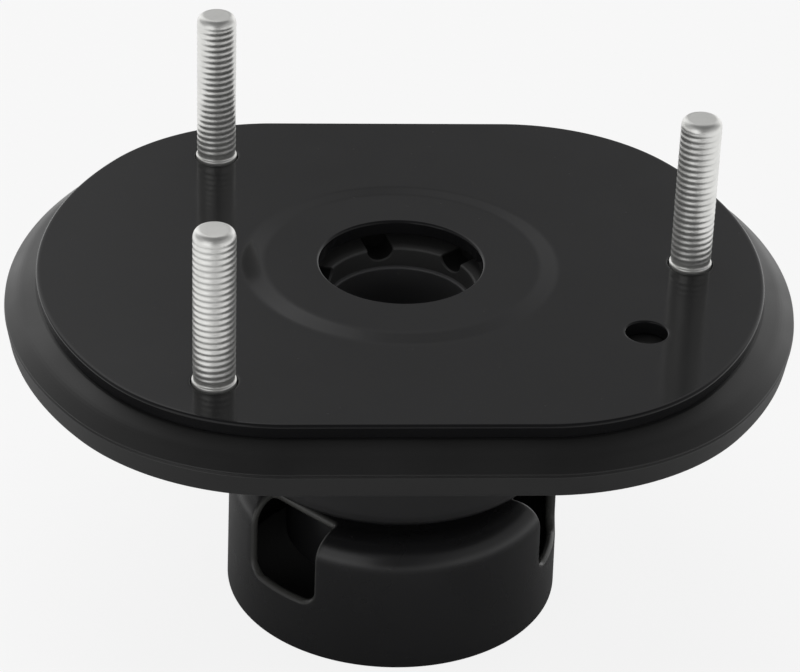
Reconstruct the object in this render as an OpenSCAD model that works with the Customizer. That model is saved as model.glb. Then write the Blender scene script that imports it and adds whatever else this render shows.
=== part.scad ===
// Strut mount with a bonded rubber bush, standing on the rim of its bump stop cup.
// +X points to the single stud, +Y to the back, +Z up. Lengths in millimetres.

/* [Upper plate] */
// Height of the plate's flat top above the rim of the bump stop cup
mount_h = 73.5; // [70:0.5:80]
// Radius of the plate's two rounded ends
plate_end_r = 71.2; // [68:0.1:75]
// Distance of the corner arcs' centres from the axis, which sets the plate's width
corner_at = 30; // [25:0.5:35]
// Thickness of the plate
plate_t = 3; // [2:0.1:4]
// Rounding of the plate's pressed upper edge
plate_edge_r = 0.8; // [0.5:0.1:1.8]
// Radius of the raised ring round the centre hole, at its foot
boss_r = 31; // [30:0.5:33]
// Height that the ring rises above the plate
boss_rise = 0.5; // [0.3:0.1:1.2]
// Width of the ring's sloping edge
boss_slope = 4; // [2:0.1:4]
// Rounding of the ring's foot and top
boss_bend_r = 12; // [2:1:15]
// Radius of the centre hole
centre_hole_r = 16; // [14.5:0.1:18]
// Rounding of the centre hole's upper edge
hole_edge_r = 0.6; // [0.2:0.1:1.4]
// Radius of the locating hole
locating_hole_r = 4; // [3:0.1:5]
// Distance of the locating hole from the axis
locating_hole_at = 52.5; // [50:0.5:54]
// Direction of the locating hole, anticlockwise from +X
locating_hole_a = -30; // [-36:1:-24]

/* [Studs] */
// Thread diameter of a stud
stud_d = 8; // [6:0.5:10]
// Height of a stud above the plate
stud_h = 32; // [25:0.1:40]
// Radius of the circle that the studs stand on
stud_circle_r = 57; // [55:0.5:59]
// Directions of the three studs, anticlockwise from +X
stud_angles = [0, 129, 230];
// Distance that the pressed-in shank, which shows as a collar, stands out past the thread
collar_over = 0.5; // [0.3:0.05:1]
// Height of the collar
collar_h = 0.9; // [0.6:0.1:2]
// Height of the plain neck between the collar and the thread
stud_neck_h = 1.8; // [1:0.1:3]
// Depth of the plain neck below the thread's crests
neck_relief = 0.2; // [0.1:0.05:0.6]
// Length of the tapered tip
stud_tip_h = 1.4; // [1.2:0.1:2]
// Radius that the tip loses along its taper
stud_tip_taper = 0.4; // [0.2:0.1:1]
// Rounding of the tip's upper edge
stud_tip_r = 1; // [0.2:0.1:1.2]
// Diameter of a stud's head under the plate
stud_head_d = 13; // [11:0.5:14]
// Thickness of a stud's head
stud_head_t = 2.4; // [1.5:0.1:3]
// Rounding of the head's lower edge
stud_head_r = 0.5; // [0.2:0.1:1]
// Rounding of the collar's edges
collar_edge_r = 0.25; // [0.1:0.05:0.4]

/* [Seat pad] */
// Distance that the skirt stands out past the plate
skirt_out = 6.2; // [5:0.1:9]
// Thickness of the pad under the plate
pad_t = 5.5; // [4.8:0.1:8]
// Drop of the skirt's slope, from the plate's underside to the parting line
skirt_drop = 3.7; // [3:0.1:5]
// Bulge of the skirt's slope above a straight line, outwards and upwards
skirt_bulge = 0.4; // [0.2:0.1:1.4]
// Height of the upright lip under the parting line
lip_h = 5.2; // [4:0.1:8]
// Thickness of the lip
lip_t = 4; // [3.2:0.1:5]
// Distance that the lip's outside draws in from the parting line to its lower edge
lip_draft = 0.8; // [0.2:0.1:1]
// Depth of the groove along the parting line
parting_groove = 0.3; // [0.2:0.05:0.8]
// Rounding of the edges along that groove
groove_edge_r = 0.2; // [0.1:0.05:0.3]
// Rounding of the lip's lower edges
lip_edge_r = 0.8; // [0.4:0.1:1.5]
// Fillets between the pad, its lip and its collar
pad_fillet_r = 1.5; // [0.5:0.1:2]
// Height of the collar that centres the coil spring
spring_collar_h = 10; // [6:0.5:16]
// Thickness of that collar
spring_collar_t = 9; // [6:0.5:12]
// Radius that the collar loses from the pad to its end
spring_collar_taper = 2; // [0.5:0.5:4]

/* [Housing] */
// Sheet thickness of the housing
housing_t = 2; // [1.5:0.1:2.5]
// Clearance between the flange's edge and the stud heads
flange_gap = 2.5; // [1:0.1:5]
// Outer radius of the bowl
bowl_r = 32.5; // [31.5:0.1:34]
// Depth of the bowl's bottom below the plate's top
bowl_depth = 41.5; // [38:0.5:43]
// Outer radius of the neck
neck_r = 21.7; // [20:0.1:23]
// Depth of the neck's end below the plate's top
neck_depth = 62; // [58:0.5:65]
// Rounding of the neck's cut end
neck_edge_r = 0.4; // [0.2:0.1:0.8]
// Inner radius of the sheet's bends
bend_r = 1.5; // [1:0.1:2.5]

/* [Bush] */
// Depth of the bush's inner top face below the plate's top
bush_depth = 5; // [4.6:0.1:6]
// Height of the bush's inner lip over the rim of the rod cup
bush_lip_h = 4; // [3:0.1:5]
// Number of pockets in the top face
pocket_n = 6; // [4:1:8]
// Radius of a pocket
pocket_r = 2.7; // [1.5:0.1:3]
// Distance from the axis at which a pocket ends
pocket_end = 20.5; // [19:0.5:21]
// Direction of the first pocket, anticlockwise from +X
pocket_a = 43; // [0:1:59]
// Width of the slope from the inner top face up to the plate
bush_slope_w = 3; // [2:0.5:4]
// Depth of the groove in the bush's underside
bush_groove_h = 15; // [8:0.5:20]
// Thickness of the bush outside the groove's top
bush_shell_t = 5.5; // [4:0.5:6]
// Thickness of the bush inside the groove's top
bush_core_t = 4.5; // [3:0.5:5]
// Thickness of the bush's two feet
bush_foot_t = 2; // [1.5:0.1:2.5]
// Rounding of the bush's edges
bush_edge_r = 0.5; // [0.2:0.1:0.8]
// Fillets at the groove's top
bush_fillet_r = 1.5; // [0.8:0.1:1.8]

/* [Rod cup] */
// Inner radius of the rod cup
rod_cup_r = 13.7; // [12.5:0.1:14]
// Wall of the rod cup
rod_cup_t = 1.8; // [1.2:0.1:2.2]
// Thickness of the rod cup's floor
rod_floor_t = 3; // [2:0.1:4]
// Depth of the rod cup inside
rod_cup_h = 26; // [20:0.5:28]
// Radius of the hole for the rod
rod_hole_r = 6.1; // [5:0.1:8]
// Width of the bush's lip over the rod cup's rim, measured from the cup's outside
rim_cover = 0.9; // [0.5:0.1:1.2]
// Rounding of the rim's inner edge
rod_rim_r = 0.4; // [0.2:0.1:0.6]
// Inner rounding round the rod cup's floor
rod_bend_r = 1.5; // [0.8:0.1:3]
// Outer rounding round the rod cup's floor
rod_foot_r = 2; // [1:0.1:3]

/* [Bump stop cup] */
// Outer radius of the cup at its rim
cup_rim_r = 33.6; // [33:0.1:36]
// Outer radius of the cup under its shoulder
cup_top_r = 33.3; // [32:0.1:34]
// Sheet thickness of the cup
cup_t = 2; // [1.5:0.1:2.5]
// Gap between the bowl's bottom and the cup's flat top
cup_gap = 3.8; // [3:0.1:6]
// Outer radius of the rolled shoulder
shoulder_r = 6; // [4:0.1:7]
// Clearance between the collar that holds the cup on the neck and the bend above it
cup_collar_gap = 0.2; // [0.1:0.1:1]
// Rounding of the rim's outer edge
cup_edge_r = 0.5; // [0.3:0.1:1]
// Fillets at the foot of the collar
cup_fillet_r = 1; // [0.5:0.1:1.5]
// Number of windows
window_n = 3; // [2:1:4]
// Width of a window
window_w = 16.8; // [12:0.1:20]
// Height of a window's sill above the rim
window_sill = 12; // [8:0.1:15]
// Rounding of a window's lower corners
window_r = 3; // [1:0.1:5]
// Distance from the axis at which a window starts
window_start = 26; // [25.5:0.5:28]
// Direction of the first window, anticlockwise from +X
window_a = -15.5; // [-40:0.5:40]

/* [Fits] */
// Clearance between a piece and the hole or recess that takes it
fit = 0.15; // [0.1:0.05:0.3]

/* [Hidden] */
$fn = 96;
// Distance that the segments of a rounded corner may stand off its arc
arc_error = 0.03;
// Segments of each arc in the hidden core under a sweep
core_steps = 4;
// Depth of a swept rim, measured in from the plate's edge
sweep_in = 10;
// Overlap of the shapes that a cut or a union runs past
past = 1;
// Direction in which an end arc runs smoothly into a corner arc, taken from a 3-4-5 triangle, so that the
// swept pieces meet in round numbers
corner_dir = [0.8, 0.6];
corner_a = atan2(corner_dir.y, corner_dir.x);
// A point past the plate in that direction
sector_end = 125 * corner_dir;
corner_r = plate_end_r - corner_at;
corner = corner_at * corner_dir;
flat_half_l = corner.x;
plate_half_w = corner.y + corner_r;
plate_under = mount_h - plate_t;
boss_under = plate_under + boss_rise;
stud_r = stud_d / 2;
stud_neck_r = stud_r - neck_relief;
collar_r = stud_r + collar_over;
pad_under = plate_under - pad_t;
parting_z = plate_under - skirt_drop;
lip_under = parting_z - lip_h;
flange_under = plate_under - housing_t;
flange_r = stud_circle_r - stud_head_d / 2 - flange_gap;
bowl_z = mount_h - bowl_depth;
neck_z = mount_h - neck_depth;
bowl_in_r = bowl_r - housing_t;
neck_in_r = neck_r - housing_t;
bend_out_r = bend_r + housing_t;
bush_top = mount_h - bush_depth;
rod_rim_z = bush_top - bush_lip_h;
rod_floor_z = rod_rim_z - rod_cup_h;
rod_under_z = rod_floor_z - rod_floor_t;
rod_out_r = rod_cup_r + rod_cup_t;
cup_h = bowl_z - cup_gap;
cup_under = cup_h - cup_t;
cup_collar_z = bowl_z - bend_r - cup_collar_gap;
collar_fillet_r = min(cup_fillet_r, (cup_collar_z - cup_h) / 2);
cup_collar_r = neck_r + fit;

// Profiles: points [x, y, r] whose corners are rounded by r

function unit(v) = v / norm(v);

function rounded_corner(a, b, c, r) =
    let (
        u = unit(a - b),
        v = unit(c - b),
        half = acos(u * v) / 2,
        centre = b + unit(u + v) * r / sin(half),
        start = b + u * r / tan(half) - centre,
        end = b + v * r / tan(half) - centre,
        a0 = atan2(start.y, start.x),
        turn = atan2(start.x * end.y - start.y * end.x, start * end),
        steps = ceil(abs(turn) * PI / 180 * sqrt(r / (8 * arc_error)))
    )
    [for (i = [0:steps]) let (at = a0 + turn * i / steps) centre + r * [cos(at), sin(at)]];

function flat(p) = [p.x, p.y];

function rounded(points) =
    let (n = len(points))
    [for (i = [0:n - 1])
        let (a = flat(points[(i + n - 1) % n]), b = flat(points[i]), c = flat(points[(i + 1) % n]))
        each (points[i].z > 0 ? rounded_corner(a, b, c, points[i].z) : [b])];

module turned(points) {
    rotate_extrude() polygon(rounded(points));
}

function arc(centre, r, a0, a1) =
    [for (i = [0:core_steps]) let (a = a0 + (a1 - a0) * i / core_steps) centre + r * [cos(a), sin(a)]];

// A coarse outline of the plate's oval, moved in by s, whose edges a sweep covers
module oval_core(s) {
    right = concat(
        arc([corner.x, -corner.y], corner_r - s, -90, -corner_a),
        arc([0, 0], plate_end_r - s, -corner_a, corner_a),
        arc(corner, corner_r - s, corner_a, 90)
    );
    polygon(concat(right, -right));
}

// The part of a shape that stands over an outline
module over(outline) {
    intersection() {
        children();
        translate([0, 0, -past])
            linear_extrude(mount_h + 2 * past)
                polygon(outline);
    }
}

// A profile [s, z] carried once round the plate's oval: turned about the axis for the ends and about the
// corners' centres between them, each cut to its own sector, with straight runs along the sides
module oval_sweep(points) {
    profile = rounded(points);
    for (half = [0, 180])
        rotate(half) {
            over([[0, 0], [sector_end.x, -sector_end.y], sector_end])
                rotate_extrude()
                    translate([plate_end_r, 0])
                        polygon(profile);
            for (side = [0, 1])
                mirror([side, 0, 0])
                    translate([corner.x, corner.y, 0])
                        over([[0, 0], sector_end, [0, sector_end.x]])
                            rotate_extrude()
                                translate([corner_r, 0])
                                    polygon(profile);
            translate([-flat_half_l, plate_half_w, 0])
                rotate([90, 0, 90])
                    linear_extrude(2 * flat_half_l)
                        polygon(profile);
        }
}

module at_studs() {
    for (a = stud_angles)
        rotate(a)
            translate([stud_circle_r, 0, 0])
                children();
}

module upper_plate() {
    color("#1c1c1d")
        difference() {
            union() {
                translate([0, 0, plate_under])
                    linear_extrude(plate_t)
                        oval_core(sweep_in / 2);
                oval_sweep([
                    [-sweep_in, plate_under, 0],
                    [0, plate_under, 0],
                    [0, mount_h, plate_edge_r],
                    [-sweep_in, mount_h, 0]
                ]);
                turned([
                    [0, mount_h - past, 0],
                    [boss_r + boss_slope, mount_h - past, 0],
                    [boss_r + boss_slope, mount_h, 0],
                    [boss_r, mount_h, boss_bend_r],
                    [boss_r - boss_slope, mount_h + boss_rise, boss_bend_r],
                    [0, mount_h + boss_rise, 0]
                ]);
            }
            turned([
                [0, plate_under - past, 0],
                [boss_r, plate_under - past, 0],
                [boss_r, plate_under, 0],
                [boss_r - boss_slope, boss_under, 0],
                [0, boss_under, 0]
            ]);
            turned([
                [0, plate_under - past, 0],
                [centre_hole_r, plate_under - past, 0],
                [centre_hole_r, mount_h + boss_rise, hole_edge_r],
                [centre_hole_r + past, mount_h + boss_rise, 0],
                [centre_hole_r + past, mount_h + boss_rise + past, 0],
                [0, mount_h + boss_rise + past, 0]
            ]);
            rotate(locating_hole_a)
                translate([locating_hole_at, 0, plate_under - past])
                    cylinder(r = locating_hole_r, h = plate_t + 2 * past);
            at_studs()
                translate([0, 0, plate_under - past])
                    cylinder(r = collar_r + fit, h = plate_t + 2 * past);
        }
}

module mounting_studs() {
    color("#c9c9c6")
        at_studs()
            turned([
                [0, plate_under - stud_head_t, 0],
                [stud_head_d / 2, plate_under - stud_head_t, stud_head_r],
                [stud_head_d / 2, plate_under, 0],
                [collar_r, plate_under, 0],
                [collar_r, mount_h + collar_h / 2, collar_edge_r],
                [stud_r, mount_h + collar_h, collar_edge_r],
                [stud_neck_r, mount_h + collar_h, 0],
                [stud_neck_r, mount_h + collar_h + stud_neck_h, 0],
                [stud_r, mount_h + collar_h + stud_neck_h + neck_relief, 0],
                [stud_r, mount_h + stud_h - stud_tip_h, 0],
                [stud_r - stud_tip_taper, mount_h + stud_h, stud_tip_r],
                [0, mount_h + stud_h, 0]
            ]);
}

module housing() {
    color("#232324")
        turned([
            [flange_r, flange_under, 0],
            [flange_r, plate_under, 0],
            [bowl_in_r, plate_under, bend_out_r],
            [bowl_in_r, bowl_z + housing_t, bend_r],
            [neck_in_r, bowl_z + housing_t, bend_out_r],
            [neck_in_r, neck_z, neck_edge_r],
            [neck_r, neck_z, neck_edge_r],
            [neck_r, bowl_z, bend_r],
            [bowl_r, bowl_z, bend_out_r],
            [bowl_r, flange_under, bend_r]
        ]);
}

module seat_pad() {
    pad_bore_r = bowl_r + fit;
    spring_collar_r = pad_bore_r + spring_collar_t;
    spring_collar_z = pad_under - spring_collar_h;
    top = plate_under;
    color("#262626")
        difference() {
            union() {
                translate([0, 0, pad_under])
                    linear_extrude(pad_t)
                        oval_core(sweep_in / 2);
                oval_sweep([
                    [-sweep_in, pad_under, 0],
                    [-sweep_in, top, 0],
                    [0, top, 0],
                    [skirt_out / 2 + skirt_bulge, top - skirt_drop / 2 + skirt_bulge, skirt_out],
                    [skirt_out, parting_z, groove_edge_r],
                    [skirt_out - parting_groove, parting_z - parting_groove, groove_edge_r / 2],
                    [skirt_out, parting_z - 2 * parting_groove, groove_edge_r],
                    [skirt_out - lip_draft, lip_under, lip_edge_r],
                    [skirt_out - lip_t, lip_under, lip_edge_r],
                    [skirt_out - lip_t, pad_under, pad_fillet_r]
                ]);
                turned([
                    [pad_bore_r - past, pad_under + past, 0],
                    [pad_bore_r - past, spring_collar_z, 0],
                    [spring_collar_r - spring_collar_taper, spring_collar_z, pad_fillet_r],
                    [spring_collar_r, pad_under, pad_fillet_r],
                    [spring_collar_r + 2 * pad_fillet_r, pad_under, 0],
                    [spring_collar_r + 2 * pad_fillet_r, pad_under + past, 0]
                ]);
            }
            turned([
                [0, spring_collar_z - past, 0],
                [pad_bore_r, spring_collar_z - past, 0],
                [pad_bore_r, flange_under, bend_r + fit],
                [flange_r + fit, flange_under, 0],
                [flange_r + fit, top + past, 0],
                [0, top + past, 0]
            ]);
            at_studs()
                translate([0, 0, top - stud_head_t - fit])
                    cylinder(r = stud_head_d / 2 + fit, h = stud_head_t + fit + past);
        }
}

module rubber_bush() {
    outer = bowl_in_r;
    ledge = bowl_z + housing_t;
    color("#1f1f20")
        difference() {
            turned([
                [rod_out_r, rod_under_z, 0],
                [rod_out_r, rod_rim_z, 0],
                [rod_out_r - rim_cover, rod_rim_z, 0],
                [rod_out_r - rim_cover, bush_top, bush_edge_r],
                [pocket_end + bush_edge_r, bush_top, 2 * bush_edge_r],
                [pocket_end + bush_slope_w, boss_under, 0],
                [outer - bend_out_r, boss_under, bush_edge_r],
                [outer, plate_under - bend_out_r, 2 * bush_edge_r],
                [outer, ledge + bend_r, 0],
                [outer - bend_r, ledge, 0],
                [outer - bend_r - bush_foot_t, ledge, bush_edge_r],
                [outer - bush_shell_t, ledge + bush_groove_h, bush_fillet_r],
                [rod_out_r + bush_core_t, ledge + bush_groove_h, bush_fillet_r],
                [rod_out_r + bush_foot_t, rod_under_z, bush_edge_r]
            ]);
            for (i = [0:pocket_n - 1])
                rotate(pocket_a + 360 * i / pocket_n)
                    translate([rod_cup_r - past, 0, bush_top])
                        rotate([0, 90, 0])
                            cylinder(r = pocket_r, h = pocket_end - rod_cup_r + past);
        }
}

module rod_cup() {
    color("#6f6f6d")
        turned([
            [rod_hole_r, rod_under_z, 0],
            [rod_out_r, rod_under_z, rod_foot_r],
            [rod_out_r, rod_rim_z, 0],
            [rod_cup_r, rod_rim_z, rod_rim_r],
            [rod_cup_r, rod_floor_z, rod_bend_r],
            [rod_hole_r, rod_floor_z, 0]
        ]);
}

module window_cut() {
    height = cup_collar_z - window_sill + past;
    translate([window_start, 0, window_sill])
        rotate([90, 0, 90])
            linear_extrude(cup_rim_r)
                polygon(rounded([
                    [-window_w / 2, 0, window_r],
                    [window_w / 2, 0, window_r],
                    [window_w / 2, height, 0],
                    [-window_w / 2, height, 0]
                ]));
}

module bump_cup() {
    color("#202021")
        difference() {
            turned([
                [cup_rim_r - cup_t, 0, cup_edge_r / 2],
                [cup_rim_r, 0, cup_edge_r],
                [cup_top_r, cup_h, shoulder_r],
                [cup_collar_r + cup_t, cup_h, collar_fillet_r],
                [cup_collar_r + cup_t, cup_collar_z, collar_fillet_r / 2],
                [cup_collar_r, cup_collar_z, 0],
                [cup_collar_r, cup_under, cup_fillet_r],
                [cup_top_r - cup_t, cup_under, shoulder_r - cup_t]
            ]);
            for (i = [0:window_n - 1])
                rotate(window_a + 360 * i / window_n)
                    window_cut();
        }
}

upper_plate();
mounting_studs();
seat_pad();
housing();
rubber_bush();
rod_cup();
bump_cup();
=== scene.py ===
import math

import bmesh
import bpy
import numpy as np
from bpy.props import FloatProperty, FloatVectorProperty, IntProperty, PointerProperty
from mathutils import Matrix, Vector
from mathutils.geometry import delaunay_2d_cdt


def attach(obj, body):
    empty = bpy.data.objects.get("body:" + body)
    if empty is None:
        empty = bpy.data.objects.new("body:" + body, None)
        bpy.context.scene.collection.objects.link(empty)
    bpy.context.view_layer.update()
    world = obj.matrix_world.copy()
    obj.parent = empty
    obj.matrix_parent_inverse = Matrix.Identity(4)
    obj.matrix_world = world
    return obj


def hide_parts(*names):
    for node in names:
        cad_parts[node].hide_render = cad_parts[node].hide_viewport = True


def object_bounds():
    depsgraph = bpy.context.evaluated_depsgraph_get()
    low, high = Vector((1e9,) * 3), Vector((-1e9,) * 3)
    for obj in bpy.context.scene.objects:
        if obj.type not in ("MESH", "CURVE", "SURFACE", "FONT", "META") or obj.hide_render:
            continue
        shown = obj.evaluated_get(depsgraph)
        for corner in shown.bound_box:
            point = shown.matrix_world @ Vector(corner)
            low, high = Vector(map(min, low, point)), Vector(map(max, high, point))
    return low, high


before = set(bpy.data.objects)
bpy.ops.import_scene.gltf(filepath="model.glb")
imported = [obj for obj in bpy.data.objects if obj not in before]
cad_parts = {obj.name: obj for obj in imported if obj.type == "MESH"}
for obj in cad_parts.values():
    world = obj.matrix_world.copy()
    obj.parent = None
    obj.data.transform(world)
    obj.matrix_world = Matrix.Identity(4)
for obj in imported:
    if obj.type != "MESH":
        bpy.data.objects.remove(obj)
CAD_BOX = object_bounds()

bl_info = {
    "name": "Strut mount",
    "version": (1, 0, 0),
    "blender": (4, 5, 0),
    "location": "View3D > Sidebar > Strut mount",
    "description": "Builds the finished pieces of a strut mount over its solids, with a stage to show it on",
    "category": "Add Mesh",
}

MM = 0.001
TAU = 2 * math.pi
# Points closer than this belong to the same corner of a piece
WELD = 1e-6
# Faces that meet at a larger angle than this keep a sharp edge
SHARP = math.radians(38)
# Direction in which the plate's end arcs run smoothly into its corner arcs
CORNER_ANGLE = math.atan2(3, 4)
# Columns round a profile turned about the axis, and round a small hole
COLUMNS, HOLE_COLUMNS = 192, 72
# Half the floor's width, in metres
FLOOR_REACH = 6.0


# Settings


def linear(code):
    """Linear colour of an sRGB hex value, channel by channel."""
    srgb = np.array([int(code[i:i + 2], 16) for i in (1, 3, 5)]) / 255
    return tuple(np.where(srgb <= 0.04045, srgb / 12.92, ((srgb + 0.055) / 1.055) ** 2.4))


def mm(description, size):
    return FloatProperty(description=description, default=size * MM, precision=5, unit="LENGTH")


def angle(description, degrees):
    return FloatProperty(description=description, default=math.radians(degrees), subtype="ANGLE")


def colour(description, code):
    return FloatVectorProperty(description=description, default=linear(code), min=0, max=1, subtype="COLOR")


def named(settings):
    """Gives each property of a group its name, such as Boss rise for boss_rise."""
    for key, made in settings.__annotations__.items():
        made.keywords["name"] = key.replace("_", " ").capitalize()
    return settings


@named
class PlateSettings(bpy.types.PropertyGroup):
    """The upper plate."""

    top: mm("Height of the flat top above the cup's rim", 73.5)
    sheet: mm("Thickness of the plate", 3)
    end_radius: mm("Radius of the two rounded ends", 71.2)
    corner_reach: mm("Distance of the corner arcs' centres from the axis", 30)
    edge: mm("Rounding of the pressed upper edge", 0.5)
    edge_lean: mm("Inward lean of the cut edge", 0.5)
    lower_edge: mm("Rounding of the lower edge", 0.3)
    boss_radius: mm("Radius of the raised ring at its foot", 31)
    boss_rise: mm("Height of the raised ring", 0.4)
    boss_slope: mm("Width of the ring's sloping edge", 4)
    boss_bend: mm("Rounding at the foot and the top of the slope", 12)
    hole_radius: mm("Radius of the centre hole", 16)
    hole_edge: mm("Rounding of the hole's upper edge", 0.6)
    locating_radius: mm("Radius of the locating hole", 4)
    locating_reach: mm("Distance of the locating hole from the axis", 52.5)
    locating_angle: angle("Direction of the locating hole from +X", -30)
    locating_edge: mm("Rounding of the locating hole's edges", 0.35)
    paint: colour("Colour of the dip coat", "#171718")


@named
class StudSettings(bpy.types.PropertyGroup):
    """The threaded studs."""

    diameter: mm("Outer diameter of the thread", 8)
    height: mm("Height of a stud above the plate", 32)
    circle: mm("Radius of the studs' circle", 57)
    angles: FloatVectorProperty(
        description="Directions of the studs from +X", subtype="EULER",
        default=(0, math.radians(129), math.radians(230)),
    )
    pitch: mm("Distance between turns of the thread", 1.25)
    depth: mm("Depth of the thread", 0.08)
    shank: mm("Diameter of the shank pressed into the plate", 8.5)
    collar: mm("Diameter of the collar above the plate", 8.4)
    collar_height: mm("Height of the collar above the plate", 0.6)
    neck: mm("Diameter of the plain neck", 7.7)
    neck_height: mm("Height of the plain neck", 0.5)
    tip_height: mm("Length of the tapered tip", 1.4)
    tip_taper: mm("Radius lost along the tip", 0.4)
    tip_edge: mm("Rounding of the tip's upper edge", 1.3)
    head: mm("Diameter of the head under the plate", 13)
    head_height: mm("Thickness of the head", 2.4)
    clearance: mm("Clearance round the shank and the head", 0.15)
    zinc: colour("Colour of the zinc plating", "#f6f6f3")


@named
class PadSettings(bpy.types.PropertyGroup):
    """The rubber seat pad."""

    overhang: mm("Width of the skirt past the plate", 6.2)
    thickness: mm("Thickness under the plate", 5.5)
    drop: mm("Drop of the skirt's slope down to the parting line", 3.7)
    bulge: mm("Bulge of the slope above a straight line", 0.4)
    parting_groove: mm("Depth of the groove along the parting line", 0.3)
    lip_height: mm("Height of the upright lip", 5.2)
    lip_thickness: mm("Thickness of the lip", 4)
    lip_draft: mm("Inward lean of the lip's outside", 0.8)
    fillet: mm("Fillets between the pad, its lip and its collar", 1.5)
    collar_height: mm("Height of the collar that centres the spring", 10)
    collar_thickness: mm("Thickness of that collar", 9)
    collar_taper: mm("Radius lost along the collar", 2)
    rubber: colour("Colour of the moulded rubber", "#1b1b1b")


@named
class HousingSettings(bpy.types.PropertyGroup):
    """The drawn housing."""

    sheet: mm("Thickness of the sheet", 2)
    flange_radius: mm("Radius of the flange under the plate", 48)
    bowl_radius: mm("Outer radius of the bowl", 32.5)
    bowl_depth: mm("Depth of the bowl's bottom below the plate's top", 41.5)
    neck_radius: mm("Outer radius of the neck", 21.7)
    neck_depth: mm("Depth of the neck's end below the plate's top", 62)
    neck_edge: mm("Rounding of the neck's cut end", 0.4)
    bend: mm("Inner radius of the bends", 1.5)
    paint: colour("Colour of the dip coat", "#1a1a1b")


@named
class BushSettings(bpy.types.PropertyGroup):
    """The bonded rubber bush."""

    depth: mm("Depth of the inner top face below the plate's top", 5)
    lip_height: mm("Height of the inner lip over the rod cup", 4)
    pockets: IntProperty(description="Number of pockets in the top face", default=6)
    pocket_radius: mm("Radius of a pocket", 2.7)
    pocket_end: mm("Distance from the axis at which a pocket ends", 20.5)
    pocket_angle: angle("Direction of the first pocket from +X", 43)
    slope: mm("Width of the slope up to the plate", 3)
    groove: mm("Depth of the groove in the underside", 15)
    shell: mm("Thickness outside the groove's top", 5.5)
    core: mm("Thickness inside the groove's top", 4.5)
    foot: mm("Thickness of the two feet", 2)
    edge: mm("Rounding of the edges", 0.5)
    fillet: mm("Fillets at the groove's top", 1.5)
    # Painted light: the bush's rubber is a paler grey than the pad's, standing in for light deep in the centre hole
    rubber: colour("Colour of the bonded rubber", "#3a3a3a")


@named
class RodCupSettings(bpy.types.PropertyGroup):
    """The rod cup."""

    radius: mm("Inner radius of the cup", 13.7)
    wall: mm("Thickness of the wall", 1.8)
    floor: mm("Thickness of the floor", 3)
    depth: mm("Depth inside", 26)
    hole: mm("Radius of the hole for the rod", 6.1)
    cover: mm("Width of the rim that the bush covers", 0.9)
    rim_edge: mm("Rounding of the rim's inner edge", 0.4)
    bend: mm("Inner rounding round the floor", 1.5)
    foot: mm("Outer rounding round the floor", 2)
    # Painted light: the rod cup's coat is a paler grey than the other dip coats, standing in for light deep in the
    # centre hole
    paint: colour("Colour of the thin coat on the cup", "#4a4a4b")


@named
class CupSettings(bpy.types.PropertyGroup):
    """The bump stop cup."""

    height: mm("Height of the flat top above the rim", 28.2)
    rim_radius: mm("Outer radius at the rim", 33.6)
    top_radius: mm("Outer radius under the shoulder", 33.3)
    sheet: mm("Thickness of the sheet", 2)
    shoulder: mm("Outer radius of the rolled shoulder", 6)
    edge: mm("Rounding of the rim's outer edge", 0.5)
    collar_height: mm("Height of the collar on the neck", 2.1)
    collar_clearance: mm("Clearance between the collar and the neck", 0.15)
    fillet: mm("Fillets at the foot of the collar", 1)
    windows: IntProperty(description="Number of windows", default=3)
    window_width: mm("Width of a window", 16.8)
    window_sill: mm("Height of a window's sill above the rim", 12)
    window_corner: mm("Rounding of a window's lower corners", 3)
    window_start: mm("Distance from the axis at which a window starts", 26)
    window_angle: angle("Direction of the first window from +X", -15.5)
    window_edge: mm("Rounding of a window's punched edge", 0.9)
    paint: colour("Colour of the dip coat", "#1a1a1b")


@named
class StageSettings(bpy.types.PropertyGroup):
    """Camera, floor and light."""

    lens: FloatProperty(description="Focal length on a 36 mm frame", default=153.88, subtype="DISTANCE_CAMERA")
    aim: FloatVectorProperty(
        description="Point that the camera looks at", subtype="XYZ", unit="LENGTH",
        default=(0.404 * MM, 1.088 * MM, 56.116 * MM),
    )
    distance: mm("Distance of the camera from that point", 679.137)
    elevation: angle("Height of the camera above the horizon", 31.063)
    azimuth: angle("Turn of the camera to the right from the front", -3.887)
    roll: angle("Roll of the camera", 1.992)
    paper: colour("Colour of the floor", "#f4f4f4")
    bounce: colour("Colour of the light thrown back by the floor", "#d0d0d0")
    # Painted shade: the floor inside the cup is given this darker grey
    shade: colour("Colour of the floor inside the cup", "#585858")


# Profiles and patches


def unit(vector):
    return vector / np.linalg.norm(vector)


def polar(angles):
    """Unit vectors in the given directions, one a row."""
    return np.stack([np.cos(angles), np.sin(angles)], -1)


def rounded(points, closed=False, error=0.01 * MM, hold=0.12 * MM):
    """A profile through corners (x, y, r): each corner becomes an arc of radius r that touches both its sides.
    An arc's points stand off it by no more than error, and each long side gets a point close to either end,
    which keeps its shading flat."""
    corners = np.array([(*p, 0)[:3] for p in points], float)
    run = []
    for before, corner, after in zip(np.roll(corners, 1, 0), corners, np.roll(corners, -1, 0)):
        radius, tip = corner[2], corner[:2]
        if radius == 0:
            run.append(tip[None])
            continue
        to_before, to_after = unit(before[:2] - tip), unit(after[:2] - tip)
        half = math.acos(np.clip(to_before @ to_after, -1, 1)) / 2
        centre = tip + unit(to_before + to_after) * radius / math.sin(half)
        start = tip + to_before * radius / math.tan(half) - centre
        end = tip + to_after * radius / math.tan(half) - centre
        turn = math.atan2(start[0] * end[1] - start[1] * end[0], start @ end)
        steps = max(2, math.ceil(abs(turn) * math.sqrt(radius / (8 * error))))
        run.append(centre + radius * polar(math.atan2(start[1], start[0]) + turn * np.linspace(0, 1, steps + 1)))
    run = np.vstack(run)
    side = np.roll(run, -1, 0) - run
    size = np.linalg.norm(side, axis=1, keepdims=True)
    step = side / np.maximum(size, WELD) * hold
    held = np.stack([run, run + step, run + side - step], 1)
    keep = np.repeat(size > 4 * hold, 3, axis=1)
    keep[:, 0] = True
    if not closed:
        keep[-1, 1:] = False
    return held[keep]


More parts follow.
